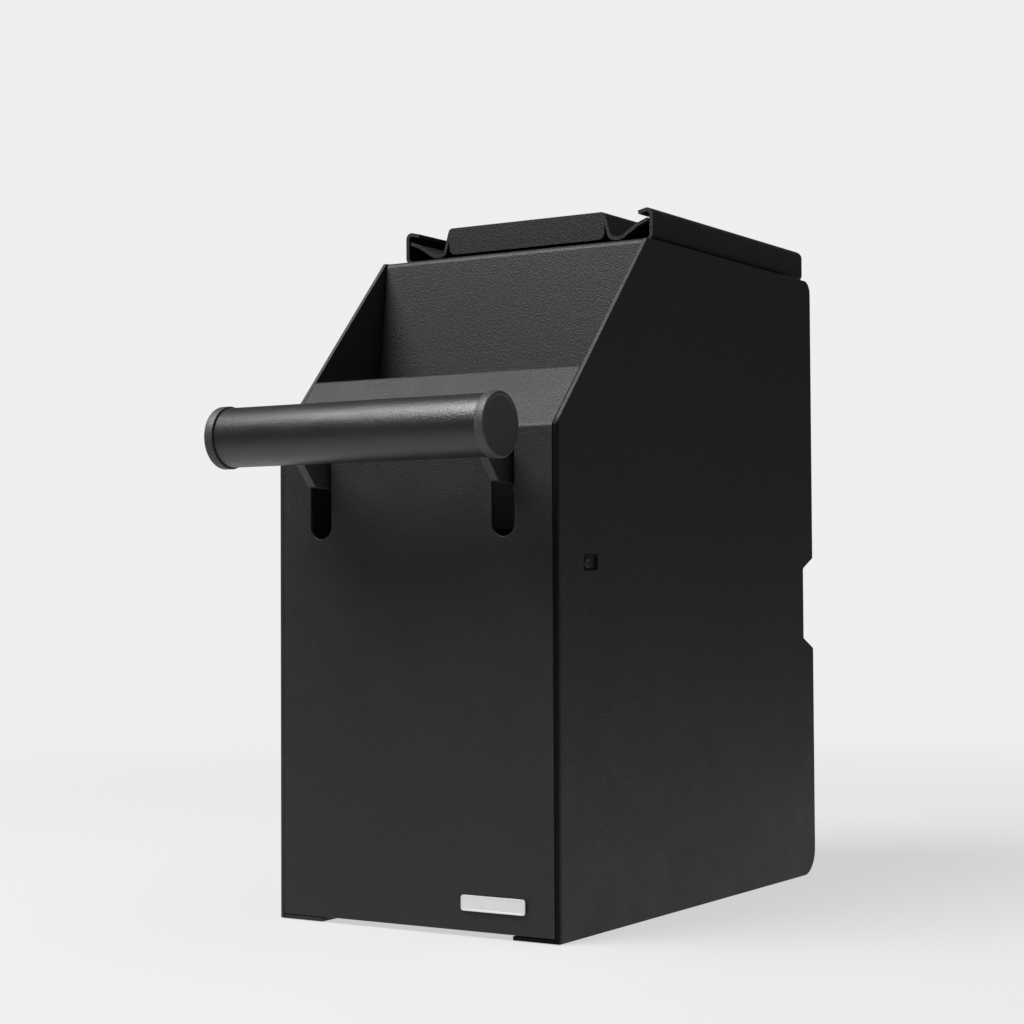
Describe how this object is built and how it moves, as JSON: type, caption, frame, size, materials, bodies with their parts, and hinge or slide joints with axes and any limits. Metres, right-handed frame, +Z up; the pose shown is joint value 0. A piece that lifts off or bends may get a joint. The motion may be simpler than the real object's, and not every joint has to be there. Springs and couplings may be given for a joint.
{
  "type": "under-counter cash deposit box",
  "caption": "Slim lockable steel deposit box for banknotes with a funnel, a push lever, a hinged rear door and slide-on rails for mounting under a counter.",
  "frame": {"origin": "middle of the footprint's bounding box, at the underside of the feet; metres", "axes": "+Z is up, +X is the box's right-hand side seen from the front, +Y points from the lever to the rear door"},
  "size_m": [0.102, 0.219, 0.2254],
  "materials": {
    "powder_coat": "fine-textured black powder coat",
    "grip_plastic": "satin black plastic",
    "black_plastic": "matt black nylon",
    "zinc_steel": "bright zinc-plated steel",
    "spring_steel": "drawn spring wire",
    "nickel": "nickel-plated, satin",
    "pad_rubber": "matt black rubber",
    "label_metal": "blank brushed label"
  },
  "bodies": {
    "cabinet": {"left_side_panel": "powder_coat", "right_side_panel": "powder_coat", "front_panel": "powder_coat", "top_panel": "powder_coat", "floor_panel": "powder_coat", "left_floor_rivet_1": "zinc_steel", "left_floor_rivet_2": "zinc_steel", "left_floor_rivet_3": "zinc_steel", "right_floor_rivet_1": "zinc_steel", "right_floor_rivet_2": "zinc_steel", "right_floor_rivet_3": "zinc_steel", "label_plate": "label_metal", "note_retaining_frame": "powder_coat", "left_note_guide": "powder_coat", "right_note_guide": "powder_coat", "left_flap_stud": "zinc_steel", "right_flap_stud": "zinc_steel", "left_pivot_bush": "black_plastic", "right_pivot_bush": "black_plastic", "left_return_spring": "spring_steel", "right_return_spring": "spring_steel", "door_hinge_pin": "zinc_steel", "lock_keeper": "zinc_steel", "rail_tray": "powder_coat", "tray_rivet_1": "zinc_steel", "tray_rivet_2": "zinc_steel", "tray_rivet_3": "zinc_steel", "tray_rivet_4": "zinc_steel", "bracket_clamp_screw": "black_plastic", "bracket_clamp_nut": "zinc_steel"},
    "lever": {"left_lever_arm": "powder_coat", "right_lever_arm": "powder_coat", "grip_tube": "grip_plastic", "grip_crossbar": "zinc_steel", "left_grip_cap": "grip_plastic", "right_grip_cap": "grip_plastic", "pivot_shaft": "zinc_steel", "pusher_plate": "zinc_steel", "left_pusher_pad": "pad_rubber", "right_pusher_pad": "pad_rubber", "left_shaft_clip": "spring_steel", "right_shaft_clip": "spring_steel"},
    "flap": {"stack_flap": "zinc_steel"},
    "door": {"rear_door": "powder_coat", "lock_barrel": "nickel", "lock_nut": "zinc_steel"},
    "lock": {"lock_plug": "nickel", "lock_cam": "zinc_steel", "cam_screw": "zinc_steel"},
    "bracket": {"mounting_bracket": "powder_coat"}
  },
  "joints": [
    {"name": "lever_pivot", "type": "hinge", "parent": "cabinet", "child": "lever", "pos_m": [0, -0.05195, 0.1112], "axis": [1, 0, 0], "range_deg": [0, 34], "stiffness_Nm_per_rad": 0.5, "springref_deg": -68.75, "deforming": ["left_return_spring", "right_return_spring"]},
    {"name": "flap_hinge", "type": "hinge", "parent": "cabinet", "child": "flap", "pos_m": [0, 0.00305, 0.15], "axis": [1, 0, 0], "range_deg": [0, 38]},
    {"name": "door_hinge", "type": "hinge", "parent": "cabinet", "child": "door", "pos_m": [0, 0.10135, 0.0064], "axis": [-1, 0, 0], "range_deg": [0, 90]},
    {"name": "lock_turn", "type": "hinge", "parent": "door", "child": "lock", "pos_m": [0, 0.10035, 0.188], "axis": [0, -1, 0], "range_deg": [0, 90]},
    {"name": "bracket_slide", "type": "slide", "parent": "cabinet", "child": "bracket", "axis": [0, 1, 0], "range_m": [0, 0.11]}
  ]
}
